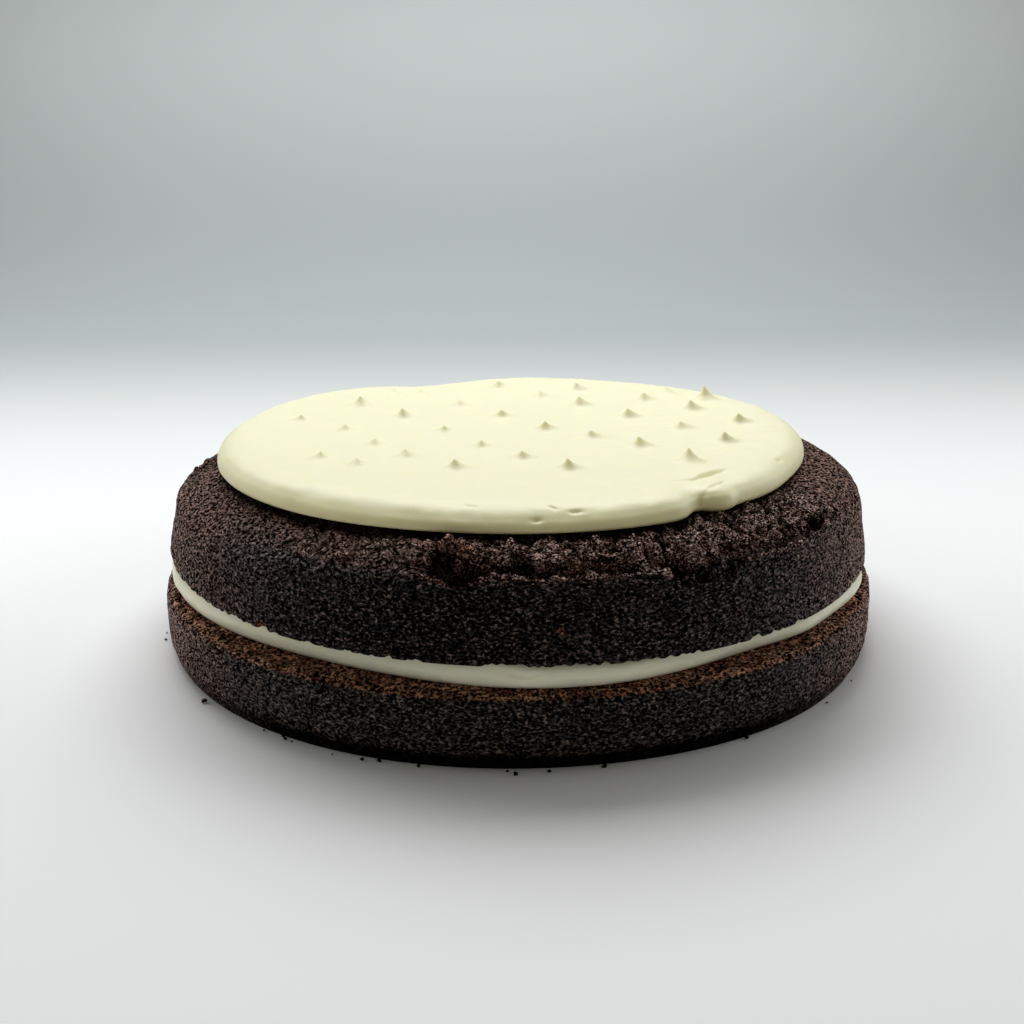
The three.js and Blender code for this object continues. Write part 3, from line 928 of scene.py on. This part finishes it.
# One crumb of a radius at a place, with a broken, uneven form
def add_crumb(bm, place, radius, seed):
    made = bmesh.ops.create_icosphere(bm, subdivisions=2, radius=1)
    for vertex in made["verts"]:
        swell = 1 + 0.9 * noise.noise(1.4 * vertex.co + Vector((seed, 0, 0)))
        vertex.co = vertex.co * radius * swell
        vertex.co.z = max(0.8 * vertex.co.z, -radius)
    bmesh.ops.translate(bm, verts=made["verts"], vec=place)


# Crumbs that have come away, on the ledge of the lower sponge and round its foot, mostly in front
def add_crumbs(material):
    bm = bmesh.new()
    for index in range(RING_CRUMBS + FOOT_CRUMBS):
        azimuth = math.pi * (2 * chance(index + 0.5) - 1) * chance(index + 40.5) - TURN / 4
        radius = CRUMB_RADIUS * (0.6 + 1.2 * chance(index + 80.5) ** 3)
        if index < RING_CRUMBS:
            inner, outer = filling_rim(azimuth) + 1, CAKE_RADIUS - 2.5
            height = LOWER_HEIGHT + 0.3 * radius
        else:
            inner, outer = CAKE_RADIUS - 1, CAKE_RADIUS + 1.4
            height = radius
        away = inner + (outer - inner) * chance(index + 120.5)
        place = (away * math.cos(azimuth), away * math.sin(azimuth), height)
        add_crumb(bm, place, radius, index)
    bmesh.ops.recalc_face_normals(bm, faces=bm.faces)
    for face in bm.faces:
        face.smooth = True
    mesh = to_mesh(bm, "crumbs")
    write_points(mesh, read_points(mesh) * MM)
    write_values(mesh, "torn", np.full(len(mesh.vertices), 0.5))
    mesh.materials.append(material)
    piece = add_object("crumbs", mesh)
    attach(piece, "root")


# Linear colour with alpha from an sRGB hex value
def colour(value):
    channels = [((value >> shift) & 255) / 255 for shift in (16, 8, 0)]
    linear = [c / 12.92 if c <= 0.04045 else ((c + 0.055) / 1.055) ** 2.4 for c in channels]
    return (*linear, 1)


# Adds a node with its settings, and its inputs as values or as links, and gives its outputs
def add_node(tree, kind, inputs, settings=None):
    made = tree.nodes.new("ShaderNode" + kind)
    for name, value in (settings or {}).items():
        setattr(made, name, value)
    for name, value in inputs.items():
        if isinstance(value, bpy.types.NodeSocket):
            tree.links.new(value, made.inputs[name])
        else:
            made.inputs[name].default_value = value
    return made.outputs


# Settings of nodes that ease a value into a range, multiply and mix colours, and the two colour inputs of
# a mix node
EASED = {"interpolation_type": "SMOOTHSTEP"}
PRODUCT = {"operation": "MULTIPLY"}
COLOURS = {"data_type": "RGBA"}
LOW, HIGH = 6, 7


def new_material(name):
    material = bpy.data.materials.new(name)
    material.use_nodes = True
    return material, material.node_tree, material.node_tree.nodes["Principled BSDF"]


# What the sponge's looks depend on: place, height, the mesh's attributes, and how far a point lies beside
# the front, where the skin is pale with a painted sheen (beside the front and on the shoulder), in the upper
# layer and in a dark patch
def sponge_zones(tree):
    place = add_node(tree, "TexCoord", {})["Object"]
    parts = add_node(tree, "SeparateXYZ", {"Vector": place})
    zones = {"place": place, "height": parts["Z"]}
    for name in ("torn", "cut", "sunk_and_painted_shade"):
        zones[name] = add_node(tree, "Attribute", {}, {"attribute_name": name})["Fac"]
    # Beside the front: here the skin takes a painted sheen instead of the painted shade in front, and the
    # painted shade at the foot stops
    beside = {"Value": parts["Y"], "From Min": -104 * MM, "From Max": -44 * MM}
    zones["beside"] = add_node(tree, "MapRange", beside, EASED)["Result"]
    # Painted sheen on the shoulder of the dome
    shoulder = {"Value": parts["Z"], "From Min": 50 * MM, "From Max": 57 * MM, "To Max": 0.7}
    shoulder = add_node(tree, "MapRange", shoulder, EASED)["Result"]
    either = {0: zones["beside"], 1: shoulder}
    zones["pale"] = add_node(tree, "Math", either, {"operation": "MAXIMUM"})["Value"]
    upper = {"Value": parts["Z"], "From Min": 21 * MM, "From Max": 30 * MM}
    zones["upper"] = add_node(tree, "MapRange", upper, EASED)["Result"]
    patchy = add_node(tree, "TexNoise", {"Vector": place, "Scale": 0.05 / MM, "Detail": 3})["Fac"]
    patches = {"Value": patchy, "From Min": 0.35, "From Max": 0.65}
    zones["patches"] = add_node(tree, "MapRange", patches, EASED)["Result"]
    return zones


# Breaks the edge of the torn crumb up into blotches
def blotch_torn_crumb(tree, zones):
    blotches = add_node(tree, "TexNoise", {"Vector": zones["place"], "Scale": 0.2 / MM, "Detail": 2})["Fac"]
    blotched = add_node(tree, "Math", {0: zones["torn"], 1: blotches}, {"operation": "ADD"})["Value"]
    torn = {"Value": blotched, "From Min": 0.92, "From Max": 1.08}
    zones["torn"] = add_node(tree, "MapRange", torn, EASED)["Result"]


# Ridges between pores, wider on the skin than in the torn crumb: their share, their relief and their tips,
# where highlights are painted
def sponge_ridges(tree, zones):
    flattened = add_node(tree, "Mapping", {"Vector": zones["place"], "Scale": (1, 1, 1.6)})["Vector"]
    skin_noise = {"Vector": flattened, "Scale": 1 / MM, "Detail": 4, "Roughness": 0.6, "Distortion": 0.4}
    crumb_noise = {"Vector": flattened, "Scale": 1.5 / MM, "Detail": 2, "Roughness": 0.6, "Distortion": 0.2}
    wide = add_node(tree, "TexNoise", skin_noise)["Fac"]
    tight = add_node(tree, "TexNoise", crumb_noise)["Fac"]
    pore_edge = add_node(tree, "Mix", {"Factor": zones["pale"], 2: 0.44, 3: 0.47})[0]
    ridge_edge = add_node(tree, "Mix", {"Factor": zones["pale"], 2: 0.66, 3: 0.62})[0]
    skin = {"Value": wide, "From Min": pore_edge, "From Max": ridge_edge}
    skin = add_node(tree, "MapRange", skin, EASED)["Result"]
    crumb = {"Value": tight, "From Min": 0.46, "From Max": 0.58}
    crumb = add_node(tree, "MapRange", crumb, EASED)["Result"]
    crest = add_node(tree, "Mix", {"Factor": zones["torn"], 2: skin, 3: crumb})[0]
    relief = add_node(tree, "Mix", {"Factor": zones["torn"], 2: wide, 3: tight})[0]
    # Tips of the ridges, where highlights are painted
    tip = add_node(tree, "MapRange", {"Value": relief, "From Min": 0.56, "From Max": 0.7}, EASED)["Result"]
    return crest, relief, tip


# Painted shade of the thin slits which run outwards through the torn crumb: the share of the light that it
# leaves
def painted_slit_shade(tree, zones):
    turned = {"Vector": zones["place"], "Rotation": (0, 0, -TURN / 8), "Scale": (3, 1, 1)}
    outwards = add_node(tree, "Mapping", turned, {"vector_type": "TEXTURE"})["Vector"]
    slits = add_node(tree, "TexNoise", {"Vector": outwards, "Scale": 0.3 / MM, "Detail": 1})["Fac"]
    offset = add_node(tree, "Math", {0: slits, 1: 0.5}, {"operation": "SUBTRACT"})["Value"]
    offset = add_node(tree, "Math", {0: offset}, {"operation": "ABSOLUTE"})["Value"]
    clear = {"Value": offset, "From Min": 0.018, "From Max": 0.05, "To Min": 0.1}
    clear = add_node(tree, "MapRange", clear, EASED)["Result"]
    return add_node(tree, "Mix", {"Factor": zones["torn"], 2: 1, 3: clear})[0]


# Baked skin: near black in front, where shade is painted, and brown elsewhere, where a sheen is painted;
# darker in patches, and with painted highlights at the tips
def skin_tone(tree, zones, tip):
    front = {"Factor": zones["upper"], LOW: colour(LOWER_FRONT_SKIN_PAINTED_SHADE), HIGH: colour(UPPER_FRONT_SKIN_PAINTED_SHADE)}
    front = add_node(tree, "Mix", front, COLOURS)[2]
    side = {"Factor": zones["upper"], LOW: colour(LOWER_SIDE_SKIN_PAINTED_SHEEN), HIGH: colour(UPPER_SIDE_SKIN_PAINTED_SHEEN)}
    side = add_node(tree, "Mix", side, COLOURS)[2]
    skin = add_node(tree, "Mix", {"Factor": zones["pale"], LOW: front, HIGH: side}, COLOURS)[2]
    patched = add_node(tree, "Math", {0: zones["patches"], 1: 0.35}, PRODUCT)["Value"]
    skin = add_node(tree, "Mix", {"Factor": patched, LOW: skin, HIGH: colour(DARK_PATCH)}, COLOURS)[2]
    painted_highlight_share = add_node(tree, "Math", {0: tip, 1: 0.5}, PRODUCT)["Value"]
    return add_node(tree, "Mix", {"Factor": painted_highlight_share, LOW: skin, HIGH: colour(SKIN_TIP_PAINTED_HIGHLIGHT)}, COLOURS)[2]


# Torn crumb: reddish brown, dry in patches, and with almost white painted highlights at the tips
def torn_tone(tree, zones, tip):
    crumb = {"Factor": zones["patches"], LOW: colour(TORN_CRUMB), HIGH: colour(DRY_TORN_CRUMB)}
    crumb = add_node(tree, "Mix", crumb, COLOURS)[2]
    painted_highlight_share = add_node(tree, "Math", {0: tip, 1: 0.75}, PRODUCT)["Value"]
    return add_node(tree, "Mix", {"Factor": painted_highlight_share, LOW: crumb, HIGH: colour(TORN_CRUMB_TIP_PAINTED_HIGHLIGHT)}, COLOURS)[2]


# Cut crumb: red-brown with flat paler streaks
def cut_tone(tree, zones):
    squeezed = {"Vector": zones["place"], "Scale": (0.2 / MM, 0.2 / MM, 0.8 / MM)}
    squeezed = add_node(tree, "Mapping", squeezed)["Vector"]
    streaky = {"Vector": squeezed, "Scale": 1, "Detail": 3, "Roughness": 0.6}
    streaky = add_node(tree, "TexNoise", streaky)["Fac"]
    streaks = {"Value": streaky, "From Min": 0.4, "From Max": 0.62}
    streaks = add_node(tree, "MapRange", streaks, EASED)["Result"]
    sliced = {"Factor": streaks, LOW: colour(CUT_CRUMB), HIGH: colour(CUT_STREAK)}
    return add_node(tree, "Mix", sliced, COLOURS)[2]


# Tin-baked chocolate sponge: matt, with soft ridges over black pores; the black of the pores is painted
# shade, and painted shade also darkens the slits, the hollows, the sponge close under the topping's rim and,
# in front, the foot
def sponge_material():
    material, tree, shader = new_material("baked chocolate sponge")
    zones = sponge_zones(tree)
    blotch_torn_crumb(tree, zones)
    crest, relief, tip = sponge_ridges(tree, zones)
    torn = {"Factor": zones["torn"], LOW: skin_tone(tree, zones, tip), HIGH: torn_tone(tree, zones, tip)}
    uncut = add_node(tree, "Mix", torn, COLOURS)[2]
    cut = {"Factor": zones["cut"], LOW: uncut, HIGH: cut_tone(tree, zones)}
    ridge = add_node(tree, "Mix", cut, COLOURS)[2]

    # Painted shade at the foot, in front only
    foot = {"Value": zones["height"], "From Min": 3.5 * MM, "From Max": 7 * MM, "To Min": 0.06}
    foot = add_node(tree, "MapRange", foot, EASED)["Result"]
    painted_foot_shade = add_node(tree, "Mix", {"Factor": zones["beside"], 2: foot, 3: 1})[0]
    # Painted shade in the hollows and under the topping's rim
    raised = add_node(tree, "Mix", {"Factor": zones["sunk_and_painted_shade"], 2: 1, 3: 0.12})[0]
    lit = crest
    for share in (painted_foot_shade, raised, painted_slit_shade(tree, zones)):
        lit = add_node(tree, "Math", {0: lit, 1: share}, PRODUCT)["Value"]
    base = add_node(tree, "Mix", {"Factor": lit, LOW: colour(PORE_PAINTED_SHADE), HIGH: ridge}, COLOURS)[2]
    shine = add_node(tree, "Math", {0: lit, 1: 0.6}, PRODUCT)["Value"]
    bump = add_node(tree, "Bump", {"Height": relief, "Strength": 1, "Distance": 1.4 * MM})["Normal"]
    tree.links.new(base, shader.inputs["Base Color"])
    tree.links.new(shine, shader.inputs["Specular IOR Level"])
    tree.links.new(bump, shader.inputs["Normal"])
    shader.inputs["Roughness"].default_value = 0.45
    shader.inputs["IOR"].default_value = 1.45
    return material


# Whipped cream cheese, spread with a palette knife: soft, ivory, faintly translucent, and yellower at the
# edge, a painted shade
def cream_material(name, tone, painted_shade_tone):
    material, tree, shader = new_material(name)
    edge = add_node(tree, "Attribute", {}, {"attribute_name": "edge"})["Fac"]
    tones = {"Factor": edge, LOW: colour(tone), HIGH: colour(painted_shade_tone)}
    tree.links.new(add_node(tree, "Mix", tones, COLOURS)[2], shader.inputs["Base Color"])
    place = add_node(tree, "TexCoord", {})["Object"]
    fine = {"Vector": place, "Scale": 0.2 / MM, "Detail": 3, "Roughness": 0.6}
    fine = add_node(tree, "TexNoise", fine)["Fac"]
    bump = add_node(tree, "Bump", {"Height": fine, "Strength": 0.25, "Distance": 0.5 * MM})["Normal"]
    tree.links.new(bump, shader.inputs["Normal"])
    shader.inputs["Roughness"].default_value = 0.42
    shader.inputs["IOR"].default_value = 1.45
    shader.inputs["Subsurface Weight"].default_value = 0.5
    shader.inputs["Subsurface Radius"].default_value = (1, 0.85, 0.42)
    shader.inputs["Subsurface Scale"].default_value = 3.5 * MM
    return material


# Matt paper: white in front, with painted shade that turns it grey behind the cake and a little lighter
# again higher up
def stage_material():
    material, tree, shader = new_material("pale matt paper")
    place = add_node(tree, "TexCoord", {})["Object"]
    parts = add_node(tree, "SeparateXYZ", {"Vector": place})
    behind = {"Value": parts["Y"], "From Min": 0, "From Max": 0.56}
    behind = add_node(tree, "MapRange", behind, EASED)["Result"]
    raised = {"Value": parts["Z"], "From Min": 0.03, "From Max": 0.26}
    raised = add_node(tree, "MapRange", raised, EASED)["Result"]
    grey = {"Factor": raised, LOW: colour(FAR_PAPER_PAINTED_SHADE), HIGH: colour(RAISED_PAPER_PAINTED_SHADE)}
    grey = add_node(tree, "Mix", grey, COLOURS)[2]
    shade = {"Factor": behind, LOW: colour(NEAR_PAPER), HIGH: grey}
    tree.links.new(add_node(tree, "Mix", shade, COLOURS)[2], shader.inputs["Base Color"])
    shader.inputs["Roughness"].default_value = 0.8
    return material


# Pale floor that sweeps up into a backdrop well behind the cake
def add_stage():
    bm = bmesh.new()
    profile = [(FLOOR_FRONT, 0), (SWEEP_START, 0)]
    profile += [
        (SWEEP_START + SWEEP_RADIUS * math.sin(turn), SWEEP_RADIUS * (1 - math.cos(turn)))
        for turn in np.linspace(0, math.pi / 2, SWEEP_CUTS + 1)[1:]
    ]
    profile += [(SWEEP_START + SWEEP_RADIUS, WALL_HEIGHT)]
    line = [bm.verts.new((-FLOOR_WIDTH / 2, y, z)) for y, z in profile]
    edges = [bm.edges.new(pair) for pair in zip(line, line[1:])]
    drawn = bmesh.ops.extrude_edge_only(bm, edges=edges)
    moved = [item for item in drawn["geom"] if isinstance(item, bmesh.types.BMVert)]
    bmesh.ops.translate(bm, verts=moved, vec=(FLOOR_WIDTH, 0, 0))
    bmesh.ops.recalc_face_normals(bm, faces=bm.faces)
    for face in bm.faces:
        face.smooth = True
    mesh = to_mesh(bm, "floor")
    mesh.materials.append(stage_material())
    add_object("floor", mesh)


# White area light of a width and depth, aimed at a point
def add_light(name, place, aim, size, power):
    data = bpy.data.lights.new(name, "AREA")
    data.shape = "RECTANGLE"
    data.size, data.size_y = size
    data.energy = power
    light = add_object(name, data)
    light.location = place
    light.rotation_euler = (Vector(aim) - light.location).to_track_quat("-Z", "Y").to_euler()
    light.visible_camera = False


def add_lights():
    for name, values in LIGHTS.items():
        add_light(name, *values)
    world = bpy.data.worlds.new("studio")
    world.use_nodes = True
    background = world.node_tree.nodes["Background"]
    background.inputs["Color"].default_value = colour(ROOM_LIGHT)
    background.inputs["Strength"].default_value = ROOM_STRENGTH
    bpy.context.scene.world = world


def add_camera():
    data = bpy.data.cameras.new("camera")
    data.sensor_width = 36
    data.lens = CAMERA_LENS
    data.clip_start = 0.01
    camera = add_object("camera", data)
    pitch = Matrix.Rotation(math.radians(90 - CAMERA_FALL), 4, "X")
    roll = Matrix.Rotation(math.radians(CAMERA_ROLL), 4, "Z")
    camera.matrix_world = Matrix.Translation(CAMERA_PLACE) @ pitch @ roll
    bpy.context.scene.camera = camera


def main():
    sponge = sponge_material()
    add_lower_sponge(sponge)
    add_upper_sponge(sponge)
    add_filling(cream_material("whipped cream cheese filling", FILLING_CREAM, FILLING_CREAM))
    add_topping(cream_material("whipped cream cheese topping", TOPPING_CREAM, TOPPING_EDGE_PAINTED_SHADE))
    add_crumbs(sponge)
    add_stage()
    add_lights()
    add_camera()
    bpy.context.scene.view_settings.view_transform = "Standard"


main()
